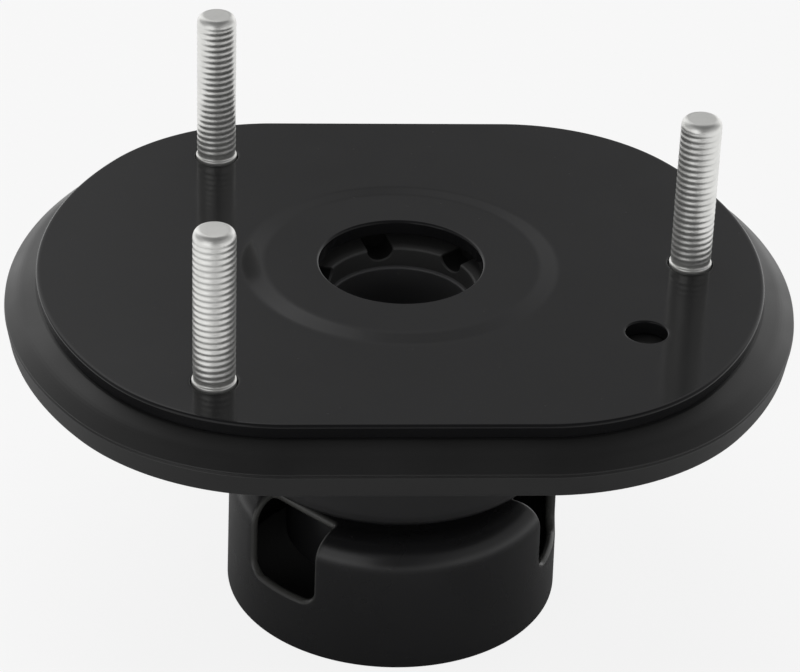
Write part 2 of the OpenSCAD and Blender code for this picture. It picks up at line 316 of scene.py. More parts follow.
def grid_faces(rows, columns, ring_rows=False, ring_columns=False):
    """Quads between the neighbouring points of a grid, closed round its rows or columns where asked."""
    i = np.arange(rows if ring_rows else rows - 1)[:, None]
    j = np.arange(columns if ring_columns else columns - 1)[None]
    here, after = i * columns, (i + 1) % rows * columns
    beside = (j + 1) % columns
    return np.stack([here + j, here + beside, after + beside, after + j], -1).reshape(-1, 4)


def carried(path, profile, closed=False):
    """A profile (offset, height) carried round a path: x, y = path + offset times its normal, z = height."""
    points, normals = path
    grid = np.empty((len(profile), len(normals), 3))
    grid[..., :2] = points + profile[:, None, :1] * normals
    grid[..., 2] = profile[:, 1:]
    return grid.reshape(-1, 3), grid_faces(len(profile), len(normals), closed, True)


def ring(radius, columns=COLUMNS, start=0.0, centre=(0, 0)):
    """A circle's points, in step with the columns of a turned profile."""
    return np.array(centre) + radius * polar(start + np.linspace(0, TAU, columns, endpoint=False))


def turned(profile, columns=COLUMNS, closed=False, start=0.0, centre=(0, 0)):
    """A profile (radius, height) turned about an upright axis: x, y = centre + radius times the direction of each
    column, z = height."""
    return carried((np.array(centre), ring(1, columns, start)), profile, closed)


def oval_path(plate, steps=(64, 40, 28)):
    """Points and outward normals round the plate's edge: an end arc about the axis, a corner arc, a straight side
    and a second corner arc, then the same run turned half round."""
    centre = plate.corner_reach * polar(CORNER_ANGLE)
    radius = plate.end_radius - plate.corner_reach
    end, first, second, side = (np.linspace(*span, endpoint=False) for span in (
        (-CORNER_ANGLE, CORNER_ANGLE, steps[0]), (CORNER_ANGLE, math.pi / 2, steps[1]),
        (math.pi / 2, math.pi - CORNER_ANGLE, steps[1]), (1, -1, steps[2]),
    ))
    points = np.vstack([
        plate.end_radius * polar(end),
        centre + radius * polar(first),
        np.stack([side * centre[0], np.full(steps[2], centre[1] + radius)], -1),
        centre * (-1, 1) + radius * polar(second),
    ])
    normals = polar(np.concatenate([end, first, np.full(steps[2], math.pi / 2), second]))
    return np.vstack([points, -points]), np.vstack([normals, -normals])


def inside(points, loop):
    """Whether each point lies in a closed loop: a line to its right crosses the loop an odd number of times."""
    x, y = points[:, None, 0], points[:, None, 1]
    ax, ay = loop.T
    bx, by = np.roll(loop, -1, 0).T
    spans = (ay > y) != (by > y)
    rise = np.where(by == ay, 1, by - ay)
    return (spans & (x < ax + (y - ay) * (bx - ax) / rise)).sum(1) % 2 == 1


def filled(outers, holes, extra=()):
    """Triangles between outer loops and holes, as flat points and corner numbers: a Delaunay net through all the
    points that keeps the loops' edges, without slivers along a straight border and the triangles whose middle is
    outside an outer loop or in a hole."""
    loops = [*outers, *holes]
    starts = np.cumsum([0] + [len(loop) for loop in loops])
    edges = np.vstack([
        np.stack([np.arange(len(loop)), (np.arange(len(loop)) + 1) % len(loop)], -1) + start
        for loop, start in zip(loops, starts)
    ])
    flat = np.vstack([*loops, *extra])
    net = delaunay_2d_cdt([Vector(p) for p in flat.tolist()], edges.tolist(), [], 0, 1e-9)
    flat, corners = np.array(net[0]), np.array(net[2])
    middle = flat[corners].mean(1)
    side_a, side_b = flat[corners[:, 1]] - flat[corners[:, 0]], flat[corners[:, 2]] - flat[corners[:, 0]]
    keep = np.abs(side_a[:, 0] * side_b[:, 1] - side_a[:, 1] * side_b[:, 0]) > MM * WELD / 10
    for loop in outers:
        keep &= inside(middle, loop)
    for loop in holes:
        keep &= ~inside(middle, loop)
    return flat, corners[keep]


def level(outer, holes, height):
    """A flat face at one height between an outer loop and holes."""
    flat, corners = filled([outer], holes)
    return np.column_stack([flat, np.full(len(flat), height)]), corners


def build_piece(name, patches, material, node, marks=None):
    """Joins patches of points and faces into one closed mesh at the origin, welded along their shared edges, and
    gives it to the frame in place of a node. Each point's mark, 0 to 1, is kept as an attribute."""
    starts = np.cumsum([0] + [len(points) for points, _ in patches])
    faces = [corners for (_, part), start in zip(patches, starts) for corners in (part + start).tolist()]
    mesh = bpy.data.meshes.new(name)
    mesh.from_pydata(np.vstack([points for points, _ in patches]).tolist(), [], faces)
    if marks is not None:
        mesh.attributes.new("marks", "FLOAT", "POINT").data.foreach_set("value", marks.astype(np.float32))
    shape = bmesh.new()
    shape.from_mesh(mesh)
    bmesh.ops.remove_doubles(shape, verts=shape.verts, dist=WELD)
    if not all(edge.is_manifold for edge in shape.edges):
        raise RuntimeError(f"{name} is not closed")
    bmesh.ops.recalc_face_normals(shape, faces=shape.faces)
    shape.to_mesh(mesh)
    shape.free()
    mesh.shade_smooth()
    mesh.set_sharp_from_angle(angle=SHARP)
    mesh.materials.append(material)
    piece = bpy.data.objects.new(name, mesh)
    bpy.context.scene.collection.objects.link(piece)
    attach(piece, "root")
    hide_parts(node)


# Materials


def add(tree, kind, inputs=(), **settings):
    """Adds a shader node with settings, and gives its inputs, by name or in order, a value or a link each. A node
    means its first output."""
    made = tree.nodes.new("ShaderNode" + kind)
    for name, value in settings.items():
        setattr(made, name, value)
    for socket, value in inputs.items() if isinstance(inputs, dict) else enumerate(inputs):
        if isinstance(value, bpy.types.Node):
            value = value.outputs[0]
        if isinstance(value, bpy.types.NodeSocket):
            tree.links.new(value, made.inputs[socket])
        else:
            made.inputs[socket].default_value = value
    return made


def new_material(name):
    """An empty material, its node tree, and the Object coordinates in it, which are metres on the piece."""
    material = bpy.data.materials.new(name)
    material.use_nodes = True
    tree = material.node_tree
    tree.nodes.clear()
    return material, tree, add(tree, "TexCoord").outputs["Object"]


def clouded(tree, place, base, other, size, detail, gloss):
    """Cloudy changes across a surface: noise of some size mixes the base colour with the other one, and takes the
    roughness from the first to the second value of gloss."""
    cloud = add(tree, "TexNoise", {"Vector": place, "Scale": 1 / size, "Detail": detail})
    tone = add(tree, "Mix", {"Factor": cloud, 6: (*base, 1), 7: (*other, 1)}, data_type="RGBA")
    shine = add(tree, "MapRange", [cloud, 0.3, 0.7, gloss[0], gloss[1]])
    return tone.outputs[2], shine


def shaded(tree, finish, relief, depth, height):
    """The end of a material: a bump of some depth from a height, the shader with its finish, and the output."""
    bump = add(tree, "Bump", {"Strength": relief, "Distance": depth, "Height": height})
    shader = add(tree, "BsdfPrincipled", {**finish, "Normal": bump})
    add(tree, "OutputMaterial", {"Surface": shader})


def dip_coat(name, paint, gloss, peel, mirror=0.5):
    """Electrophoretic dip coat: a thin even black paint baked onto pressed steel. The eye gets a semi-gloss black
    with a faint orange peel about 1.6 mm wide, cloudy changes of gloss and a few dull grains of dust. The dust is
    drawn about 0.5 mm wide, coarser than real, so that it shows. Where it is marked, on the punched edges of the
    cup's windows, a steel grey is painted in: a painted highlight where the cut sheet catches the light."""
    material, tree, place = new_material(name)
    # steel: the grey of the painted highlight on the marked window edges
    cloud_size, peel_size, dust_gap, steel = 14 * MM, 1.6 * MM, 5 * MM, linear("#4c4c4a")
    tone, shine = clouded(
        tree, place, paint, [c * 1.35 for c in paint], cloud_size, 3.0, (gloss - 0.03, gloss + 0.04)
    )
    dust = add(tree, "TexVoronoi", {"Vector": place, "Scale": 1 / dust_gap, "Randomness": 1.0})
    grain = add(tree, "MapRange", [dust.outputs["Distance"], 0.035, 0.06, 1.0, 0.0])
    rough = add(tree, "Math", [grain, 0.25, shine], operation="MULTIPLY_ADD")
    # Painted highlight: thin is the mark on the cup's punched window edges, where a lighter grey is painted in
    thin = add(tree, "Attribute", attribute_name="marks").outputs["Fac"]
    for share, over in ((grain, [c * 1.5 + 0.004 for c in paint]), (thin, steel)):
        tone = add(tree, "Mix", {"Factor": share, 6: tone, 7: (*over, 1)}, data_type="RGBA").outputs[2]
    peel_net = add(tree, "TexNoise", {"Vector": place, "Scale": 1 / peel_size, "Detail": 1.0})
    finish = {"Base Color": tone, "Roughness": rough, "IOR": 1.5, "Specular IOR Level": mirror}
    shaded(tree, finish, relief=peel, depth=0.02 * MM, height=peel_net)
    return material


def moulded_rubber(name, rubber, gloss, grain_size):
    """Carbon-filled rubber, pressed in a steel mould: a deep grey-black with a fine matt grain from the mould,
    a soft sheen at a grazing look and paler clouds of bloom some 18 mm wide. Where it is marked, in the bush's
    pockets, it is painted near black and made rougher: a painted shade in the pockets."""
    material, tree, place = new_material(name)
    bloom_size = 18 * MM
    tone, shine = clouded(
        tree, place, rubber, [c * 1.5 + 0.002 for c in rubber], bloom_size, 4.0, (gloss - 0.05, gloss + 0.05)
    )
    # Painted shade: the marked pocket floors are darkened to a tenth of the rubber's colour
    pocket_shade = add(tree, "Attribute", attribute_name="marks").outputs["Fac"]
    tone = add(tree, "Mix", {"Factor": pocket_shade, 6: tone, 7: (*(c * 0.1 for c in rubber), 1)}, data_type="RGBA")
    rough = add(tree, "Math", [pocket_shade, 0.4, shine], operation="MULTIPLY_ADD")
    grain = add(tree, "TexNoise", {"Vector": place, "Scale": 1 / grain_size, "Detail": 2.0})
    finish = {"Base Color": tone.outputs[2], "Roughness": rough, "IOR": 1.5}
    shaded(tree, finish, relief=0.35, depth=0.03 * MM, height=grain)
    return material


def zinc_plate(name, zinc):
    """Bright zinc plated on rolled steel: a pale silver metal, a little cloudy, with the fine drag marks of the
    thread rollers round it. The marks are drawn 0.25 mm apart, coarser than real, so that they show."""
    material, tree, place = new_material(name)
    cloud_size, drag_size = 3 * MM, 0.25 * MM
    tone, shine = clouded(tree, place, zinc, [c * 0.82 for c in zinc], cloud_size, 3.0, (0.33, 0.41))
    squashed = add(tree, "Mapping", {"Vector": place, "Scale": (0.12, 0.12, 1.0)})
    drag = add(tree, "TexNoise", {"Vector": squashed, "Scale": 1 / drag_size, "Detail": 1.0})
    finish = {"Base Color": tone, "Metallic": 0.84, "Roughness": shine}
    shaded(tree, finish, relief=0.2, depth=0.01 * MM, height=drag)
    return material


# Pieces


def stud_places(studs):
    """Feet of the studs on their circle."""
    return studs.circle * polar(np.array(studs.angles))


def plate_patches(plate, studs):
    """The pressed plate: its rim carried round the oval, the raised ring and centre hole turned about the axis, the
    edges of the small holes turned about their own, and the flat top and underside filled in between."""
    top, under = plate.top, plate.top - plate.sheet
    path = oval_path(plate)
    margin = 2 * plate.edge
    rim = rounded([
        (-margin, top), (0, top, plate.edge), (-plate.edge_lean, under, plate.lower_edge), (-margin, under),
    ])
    boss, bend = plate.boss_radius, plate.boss_bend
    foot, crest = boss + plate.boss_slope, boss - plate.boss_slope
    raised, raised_under = top + plate.boss_rise, under + plate.boss_rise
    centre = rounded([
        (foot, under), (boss, under, bend), (crest, raised_under, bend),
        (plate.hole_radius, raised_under, plate.lower_edge), (plate.hole_radius, raised, plate.hole_edge),
        (crest, raised, bend), (boss, top, bend), (foot, top),
    ], error=0.001 * MM)
    patches = [carried(path, rim), turned(centre)]
    holes = [(plate.locating_reach * polar(plate.locating_angle), plate.locating_radius, plate.locating_edge)]
    shank = studs.shank / 2 + studs.clearance
    holes += [(place, shank, plate.lower_edge) for place in stud_places(studs)]
    loops = [ring(foot)]
    for place, radius, edge in holes:
        mouth = radius + 2 * edge
        edges = rounded([(mouth, top), (radius, top, edge), (radius, under, edge), (mouth, under)])
        patches.append(turned(edges, HOLE_COLUMNS, centre=place))
        loops.append(ring(mouth, HOLE_COLUMNS, centre=place))
    outer = path[0] - margin * path[1]
    return patches + [level(outer, loops, top), level(outer, loops, under)]


def stud_patch(studs, top, under, place, spin, columns=64, steps=12):
    """One stud: rings for its head, shank, neck and tip, and a thread between them whose rows climb one pitch a
    turn. The radius is the crest's less the depth times a cosine wave of the row's share of a turn, and it fades
    into the neck and the tip."""
    turn = np.linspace(0, TAU, columns + 1)
    crest, neck = studs.diameter / 2, studs.neck / 2
    shank, collar = studs.shank / 2, studs.collar / 2
    start = top + studs.collar_height + studs.neck_height
    end = top + studs.height - studs.tip_height
    tip = crest - studs.depth / 2
    edge, head_edge = 0.25 * MM, 0.5 * MM
    fade_in, fade_out = 0.8 * studs.pitch, 0.7 * studs.pitch
    below = rounded([
        (0, under - studs.head_height), (studs.head / 2, under - studs.head_height, head_edge),
        (studs.head / 2, under, edge), (shank, under), (shank, top - 2 * edge), (collar, top - edge),
        (collar, top + studs.collar_height, edge), (neck, top + studs.collar_height, edge), (neck, start),
    ])
    above = rounded([
        (tip, end), (crest - studs.tip_taper, top + studs.height, studs.tip_edge), (0, top + studs.height),
    ])
    row = np.arange(-steps, math.ceil((end - start) / studs.pitch * steps) + 1)[:, None]
    height = np.clip(start + studs.pitch * (row / steps + turn / TAU), start, end)
    wave = 0.5 + 0.5 * np.cos(TAU * row / steps)
    radius = crest - studs.depth * wave
    for plain, share in ((neck, (height - start) / fade_in), (tip, (end - height) / fade_out)):
        share = np.clip(share, 0, 1)
        radius = plain + (radius - plain) * share ** 2 * (3 - 2 * share)
    flat = np.ones(columns + 1)
    radius = np.vstack([below[:, :1] * flat, radius, above[:, :1] * flat])
    height = np.vstack([below[:, 1:] * flat, height, above[:, 1:] * flat])
    ways = polar(turn + spin)
    points = np.dstack([place[0] + radius * ways[:, 0], place[1] + radius * ways[:, 1], height])
    return points.reshape(-1, 3), grid_faces(*radius.shape)


def pad_patches(pad, plate, housing, studs):
    """The moulded pad: its sloping skirt and lip carried round the plate's oval, the collar for the spring and the
    seat of the flange turned about the axis, recesses for the stud heads, and flat faces in between."""
    top = plate.top - plate.sheet
    under, parting = top - pad.thickness, top - pad.drop
    lip = parting - pad.lip_height
    out, inner = pad.overhang, pad.overhang - pad.lip_thickness
    soft, lip_edge = 0.2 * MM, 0.8 * MM
    path = oval_path(plate)
    skirt = rounded([
        (0, top),
        (out / 2 + pad.bulge, top - pad.drop / 2 + pad.bulge, out),
        (out, parting, soft),
        (out - pad.parting_groove, parting - pad.parting_groove, soft / 2),
        (out, parting - 2 * pad.parting_groove, soft),
        (out - pad.lip_draft, lip, lip_edge),
        (inner, lip, lip_edge),
        (inner, under, pad.fillet),
        (inner - 2 * pad.fillet, under),
    ])
    bore = housing.bowl_radius + studs.clearance
    collar, seat = bore + pad.collar_thickness, housing.flange_radius + studs.clearance
    middle = rounded([
        (collar + 2 * pad.fillet, under),
        (collar, under, pad.fillet),
        (collar - pad.collar_taper, under - pad.collar_height, pad.fillet),
        (bore, under - pad.collar_height, soft),
        (bore, top - housing.sheet, housing.bend + studs.clearance),
        (seat, top - housing.sheet),
        (seat, top),
    ])
    patches = [carried(path, skirt), turned(middle)]
    loops = [ring(seat)]
    head = studs.head / 2 + studs.clearance
    floor = top - studs.head_height - studs.clearance
    for place in stud_places(studs):
        recess = np.array([(head, top), (head, floor), (0, floor)])
        patches.append(turned(recess, HOLE_COLUMNS, centre=place))
        loops.append(ring(head, HOLE_COLUMNS, centre=place))
    border = path[0] + (inner - 2 * pad.fillet) * path[1]
    return patches + [level(path[0], loops, top), level(border, [ring(collar + 2 * pad.fillet)], under)]


def housing_patches(housing, plate):
    """The drawn housing: flange, bowl and neck as one bent sheet turned about the axis."""
    top = plate.top - plate.sheet
    bowl, neck_end = plate.top - housing.bowl_depth, plate.top - housing.neck_depth
    inner, neck_inner = housing.bowl_radius - housing.sheet, housing.neck_radius - housing.sheet
    bend, wide, flange_edge = housing.bend, housing.bend + housing.sheet, 0.2 * MM
    under, bowl_floor = top - housing.sheet, bowl + housing.sheet
    return [turned(rounded([
        (housing.flange_radius, under, flange_edge), (housing.flange_radius, top, flange_edge),
        (inner, top, wide), (inner, bowl_floor, bend), (neck_inner, bowl_floor, wide),
        (neck_inner, neck_end, housing.neck_edge), (housing.neck_radius, neck_end, housing.neck_edge),
        (housing.neck_radius, bowl, bend), (housing.bowl_radius, bowl, wide), (housing.bowl_radius, under, bend),
    ], closed=True), columns=256, closed=True)]


def bush_patches(bush, plate, housing, rod_cup):
    """The bonded bush: a closed profile turned about the axis, whose columns run along the sides of half-round
    pockets near them. In a pocket the inner lip's height is scaled to end on the half circle of depth
    sqrt(radius squared - offset squared). The floor and the end of a pocket are marked 1, for a painted shade."""
    top, under = plate.top - bush.depth, plate.top - plate.sheet
    rim = top - bush.lip_height
    foot = rim - rod_cup.depth - rod_cup.floor
    wall = rod_cup.radius + rod_cup.wall
    outer = housing.bowl_radius - housing.sheet
    ledge = plate.top - housing.bowl_depth + housing.sheet
    crown, bend = under + plate.boss_rise, housing.bend + housing.sheet
    step = 0.05 * MM
    profile = rounded([
        (wall, foot), (wall, rim), (wall - rod_cup.cover, rim),
        (wall - rod_cup.cover, top, bush.edge),
        (bush.pocket_end - step, top), (bush.pocket_end + step, top),
        (bush.pocket_end + 3 * bush.edge, top, bush.edge),
        (bush.pocket_end + bush.slope, crown, bush.edge),
        (outer - bend, crown, bush.edge), (outer, under - bend, 2 * bush.edge),
        (outer, ledge + housing.bend), (outer - housing.bend, ledge),
        (outer - housing.bend - bush.foot, ledge, bush.edge),
        (outer - bush.shell, ledge + bush.groove, bush.fillet),
        (wall + bush.core, ledge + bush.groove, bush.fillet),
        (wall + bush.foot, foot, bush.edge),
    ], closed=True, hold=0.04 * MM)
    radius, height = profile[:, :1], profile[:, 1:]
    pocket_columns, plain_columns = 17, 22
    across = bush.pocket_radius * np.sin(np.linspace(-math.pi / 2, math.pi / 2, pocket_columns))
    depth = np.sqrt(np.maximum(bush.pocket_radius ** 2 - across ** 2, 0))
    sector = TAU / bush.pockets
    share = np.linspace(0, 1, plain_columns + 2)[1:-1]
    side = np.arcsin(bush.pocket_radius / radius)
    turn = np.hstack([np.arcsin(across / radius), side + share * (sector - 2 * side)])
    sunk = np.concatenate([depth, np.zeros(plain_columns)])
    turn = bush.pocket_angle + np.hstack([turn + i * sector for i in range(bush.pockets)])
    sunk = np.tile(sunk, bush.pockets)
    floor_start = wall - rod_cup.cover + bush.edge - WELD
    on_floor = (height > rim + WELD) & (radius > floor_start) & (radius < bush.pocket_end + 2 * step)
    # Painted shade: the pocket floors are marked to be darkened
    marks = on_floor & (sunk > 0)
    in_pocket = (height > rim - WELD) & (radius < bush.pocket_end)
    height = np.where(in_pocket, rim + (height - rim) * (1 - sunk / bush.lip_height), height)
    points = np.dstack([radius * np.cos(turn), radius * np.sin(turn), height])
    return [(points.reshape(-1, 3), grid_faces(*turn.shape, True, True))], marks.ravel()


def rod_cup_patches(rod_cup, plate, bush):
    """The rod cup: a deep cup with a rod hole in its floor, turned about the axis."""
    rim = plate.top - bush.depth - bush.lip_height
    floor = rim - rod_cup.depth
    under, outer = floor - rod_cup.floor, rod_cup.radius + rod_cup.wall
    hole_edge, outer_edge = 0.3 * MM, 0.1 * MM
    return [turned(rounded([
        (rod_cup.hole, under, hole_edge), (outer, under, rod_cup.foot), (outer, rim, outer_edge),
        (rod_cup.radius, rim, rod_cup.rim_edge), (rod_cup.radius, floor, rod_cup.bend),
        (rod_cup.hole, floor, hole_edge),
    ], closed=True), columns=160, closed=True)]


def cup_patches(cup, housing, columns=66, rows=(18, 15, 4), outline_points=180, edge_points=6):
    """The bump stop cup: a sheet between an outer and an inner curve, both made of a wall, a rolled shoulder and a
    flat top, turned about the axis. A point of the sheet is given by its way along the curves, its share of the
    thickness and its offset across a window. Each window's outline is a rounded rectangle on the unrolled sheet,
    whose edge is a quarter round on either face. The faces are nets over one sector round each window. A point's
    mark is 1 on the window's own face and falls to 0 along the quarter rounds."""
    collar = housing.neck_radius + cup.collar_clearance
    bottom, flat_end = 2 * cup.edge, collar + cup.sheet + 1.15 * cup.fillet
    sheet, far_corner, net_gap = cup.sheet, 1 * MM, 0.4 * MM

    def curve(rim, shoulder, height, bend):
        """One face's wall, shoulder arc and flat, as a function that gives radius and height at each step from 0 to
        3, with the wall's top, the flat's start and the arc's first direction."""
        lean = unit(np.array([shoulder - rim, height]))
        reach = bend * math.tan(math.acos(-lean[0]) / 2)
        wall_foot = np.array([rim, 0]) + lean * bottom / lean[1]
        wall_top = np.array([shoulder, height]) - lean * reach
        flat_start = np.array([shoulder - reach, height])
        centre = flat_start - (0, bend)
        first = math.atan2(*(wall_top - centre)[::-1])

        def at(step):
            wall = wall_foot + np.clip(step, 0, 1)[..., None] * (wall_top - wall_foot)
            arc = centre + bend * polar(first + (math.pi / 2 - first) * np.clip(step - 1, 0, 1))
            flat = flat_start + np.clip(step - 2, 0, 1)[..., None] * np.array([flat_end - flat_start[0], 0])
            return np.where((step < 1)[..., None], wall, np.where((step < 2)[..., None], arc, flat))
        return at, wall_top[1], flat_start[0], first

    sizes = np.array([cup.rim_radius, cup.top_radius, cup.height, cup.shoulder])
    outer, wall_top, flat_start, first = curve(*sizes)
    inner = curve(*(sizes - sheet))[0]
    lengths = np.array([wall_top - bottom, cup.shoulder * (math.pi / 2 - first), flat_start - flat_end])
    stations = np.concatenate([[0], np.cumsum(lengths)])

    def on_sheet(way, share):
        """Radius and height at a way along the curves, in metres, and a share of the thickness."""
        step = np.interp(way, stations, np.arange(4))
        share = np.broadcast_to(share, np.shape(way))[..., None]
        return (1 - share) * outer(step) + share * inner(step)

    sill = cup.window_sill - bottom
    far = stations[2] + flat_start - cup.window_start
    half = cup.window_width / 2
    outline = rounded([
        (-half, sill, cup.window_corner), (half, sill, cup.window_corner),
        (half, far, far_corner), (-half, far, far_corner),
    ], closed=True)
    outline = np.vstack([outline, outline[:1]])
    run = np.concatenate([[0], np.cumsum(np.linalg.norm(np.diff(outline, axis=0), axis=1))])
    stops = np.linspace(0, run[-1], outline_points, endpoint=False)
    outline = np.stack([np.interp(stops, run, outline[:, i]) for i in (0, 1)], -1)
    bow = np.sqrt(cup.window_start ** 2 + outline[:, 0] ** 2) - cup.window_start
    outline[:, 1] -= bow * (outline[:, 1] - sill) / (far - sill)
    along = np.roll(outline, -1, 0) - np.roll(outline, 1, 0)
    outward = np.stack([along[:, 1], -along[:, 0]], -1) / np.linalg.norm(along, axis=1, keepdims=True)
    bend = np.linspace(0, math.pi / 2, edge_points)
    away = cup.window_edge * (1 - np.sin(bend))
    sunk = cup.window_edge / sheet * (1 - np.cos(bend))
    away, sunk = np.concatenate([away, away[::-1]]), np.concatenate([sunk, 1 - sunk[::-1]])
    across = outline[:, 0] + away[:, None] * outward[:, 0]
    way = outline[:, 1] + away[:, None] * outward[:, 1]
    place = on_sheet(way, sunk[:, None])
    turn = np.arcsin(across / place[..., 0])

    sector = TAU / cup.windows
    spins = [cup.window_angle + i * sector for i in range(cup.windows)]
    spread = cup.top_radius
    columns_at = np.linspace(-sector / 2, sector / 2, columns + 1)
    rows_at = np.unique(np.concatenate([np.linspace(*span) for span in zip(stations, stations[1:], rows)]))
    net_turn, net_way = (part.ravel() for part in np.meshgrid(columns_at, rows_at))
    patches = []
    for face, share in ((0, 0.0), (-1, 1.0)):
        loop = np.stack([turn[face] * spread, way[face]], -1)
        net = np.stack([net_turn * spread, net_way], -1)
        gap = np.linalg.norm(net[:, None] - loop, axis=2).min(1)
        net = net[~inside(net, loop) & ((gap > net_gap) | (net_way == stations[-1]))]
        flat, corners = filled([], [loop], [net])
        spot = on_sheet(flat[:, 1], share)
        for spin in spins:
            ways = polar(flat[:, 0] / spread + spin)
            patches.append((np.hstack([spot[:, :1] * ways, spot[:, 1:]]), corners))
    marks = [np.zeros(len(points)) for points, _ in patches]
    for spin in spins:
        edge = np.dstack([place[..., :1] * polar(turn + spin), place[..., 1:]])
        patches.append((edge.reshape(-1, 3), grid_faces(*turn.shape, False, True)))
        # Painted highlight: the window's cut face is marked 1 for a lighter grey, falling to 0 along the quarter
        # rounds
        marks.append(np.repeat(1 - away / cup.window_edge, outline_points))
    foot = on_sheet(np.zeros(2), np.array([0.0, 1.0]))
    start = cup.window_angle - sector / 2
    rim = rounded([
        tuple(foot[0]), (cup.rim_radius, 0, cup.edge), (cup.rim_radius - sheet, 0, cup.edge / 2), tuple(foot[1]),
    ])
    neck = rounded([
        (flat_end, cup.height), (collar + sheet, cup.height, cup.fillet),
        (collar + sheet, cup.height + cup.collar_height, cup.fillet / 2),
        (collar, cup.height + cup.collar_height, cup.fillet / 4),
        (collar, cup.height - sheet, cup.fillet), (flat_end, cup.height - sheet),
    ])
    ends = [turned(part, columns * cup.windows, start=start) for part in (rim, neck)]
    return patches + ends, np.concatenate(marks + [np.zeros(len(points)) for points, _ in ends])


# Operators


class STRUT_OT_upper_plate(bpy.types.Operator):
    """Builds the pressed upper plate"""

    bl_idname = "strut.upper_plate"
    bl_label = "Upper plate"

    def execute(self, context):
        mount = context.scene.strut_mount
        coat = dip_coat("Semi-gloss dip coat", mount.plate.paint, gloss=0.12, peel=0.12, mirror=0.25)
        build_piece("pressed_plate", plate_patches(mount.plate, mount.studs), coat, "upper_plate")
        return {"FINISHED"}


class STRUT_OT_mounting_studs(bpy.types.Operator):
    """Builds the three threaded studs"""

    bl_idname = "strut.mounting_studs"
    bl_label = "Mounting studs"

    def execute(self, context):
        mount = context.scene.strut_mount
        plate, studs = mount.plate, mount.studs
        patches = [
            stud_patch(studs, plate.top, plate.top - plate.sheet, place, spin)
            for place, spin in zip(stud_places(studs), studs.angles)
        ]
        zinc = zinc_plate("Bright zinc plate", studs.zinc)
        build_piece("threaded_studs", patches, zinc, "mounting_studs")
        return {"FINISHED"}


class STRUT_OT_seat_pad(bpy.types.Operator):
    """Builds the rubber seat pad"""

    bl_idname = "strut.seat_pad"
    bl_label = "Seat pad"

    def execute(self, context):
        mount = context.scene.strut_mount
        rubber = moulded_rubber("Moulded skirt rubber", mount.pad.rubber, gloss=0.4, grain_size=0.5 * MM)
        patches = pad_patches(mount.pad, mount.plate, mount.housing, mount.studs)
        build_piece("rubber_seat", patches, rubber, "seat_pad")
        return {"FINISHED"}


class STRUT_OT_housing(bpy.types.Operator):
    """Builds the drawn housing"""

    bl_idname = "strut.housing"
    bl_label = "Housing"

    def execute(self, context):
        mount = context.scene.strut_mount
        coat = dip_coat("Satin dip coat on the housing", mount.housing.paint, gloss=0.36, peel=0.3)
        build_piece("drawn_housing", housing_patches(mount.housing, mount.plate), coat, "housing")
        return {"FINISHED"}


class STRUT_OT_rubber_bush(bpy.types.Operator):
    """Builds the bonded rubber bush"""

    bl_idname = "strut.rubber_bush"
    bl_label = "Rubber bush"

    def execute(self, context):
        mount = context.scene.strut_mount
        # The bush's rubber is painted paler than the pad's: painted light in the deep centre hole
        rubber = moulded_rubber("Bonded bush rubber", mount.bush.rubber, gloss=0.5, grain_size=0.35 * MM)
        patches, marks = bush_patches(mount.bush, mount.plate, mount.housing, mount.rod_cup)
        build_piece("bonded_bush", patches, rubber, "rubber_bush", marks=marks)
        return {"FINISHED"}


class STRUT_OT_rod_cup(bpy.types.Operator):
    """Builds the cup that takes the damper rod"""

    bl_idname = "strut.rod_cup"
    bl_label = "Rod cup"

    def execute(self, context):
        mount = context.scene.strut_mount
        # The rod cup's coat is painted paler: painted light deep in the centre hole
        coat = dip_coat("Dip coat on the rod cup, painted lighter", mount.rod_cup.paint, gloss=0.3, peel=0.3)
        patches = rod_cup_patches(mount.rod_cup, mount.plate, mount.bush)
        build_piece("rod_socket", patches, coat, "rod_cup")
        return {"FINISHED"}


class STRUT_OT_bump_cup(bpy.types.Operator):
    """Builds the windowed bump stop cup"""

    bl_idname = "strut.bump_cup"
    bl_label = "Bump stop cup"

    def execute(self, context):
        mount = context.scene.strut_mount
        coat = dip_coat("Satin dip coat on the cup", mount.cup.paint, gloss=0.27, peel=0.3)
        patches, marks = cup_patches(mount.cup, mount.housing)
        build_piece("windowed_cup", patches, coat, "bump_cup", marks=marks)
        return {"FINISHED"}


class STRUT_OT_stage(bpy.types.Operator):
    """Sets up the floor, the light and the camera"""

    bl_idname = "strut.stage"
    bl_label = "Stage"

    def execute(self, context):
        mount = context.scene.strut_mount
        stage, cup = mount.stage, mount.cup
        floor_mesh = bpy.data.meshes.new("floor")
        corners = FLOOR_REACH * np.array([(-1, -1, 0), (1, -1, 0), (1, 1, 0), (-1, 1, 0)]) + (0, 0, CAD_BOX[0][2])
        floor_mesh.from_pydata(corners.tolist(), [], [(0, 1, 2, 3)])
        covered = cup.rim_radius - cup.sheet / 2
        floor_mesh.materials.append(floor_paper("Pale floor", stage.paper, stage.bounce, stage.shade, covered))
        floor = bpy.data.objects.new("floor", floor_mesh)
        context.scene.collection.objects.link(floor)
        light_studio(context.scene)
        place_camera(context.scene, stage)
        context.scene.view_settings.view_transform = "Standard"
        return {"FINISHED"}


def white_share(tree, seen, mirrored):
    """Share of plain white that a ray gets: one for the camera's rays, another for mirrored and glass ones."""
    path = add(tree, "LightPath").outputs
    shine = add(tree, "Math", [path["Is Glossy Ray"], path["Is Transmission Ray"]], operation="MAXIMUM")
    camera = add(tree, "Math", [path["Is Camera Ray"], seen], operation="MULTIPLY")
    return add(tree, "Math", [shine, mirrored, camera], operation="MULTIPLY_ADD")


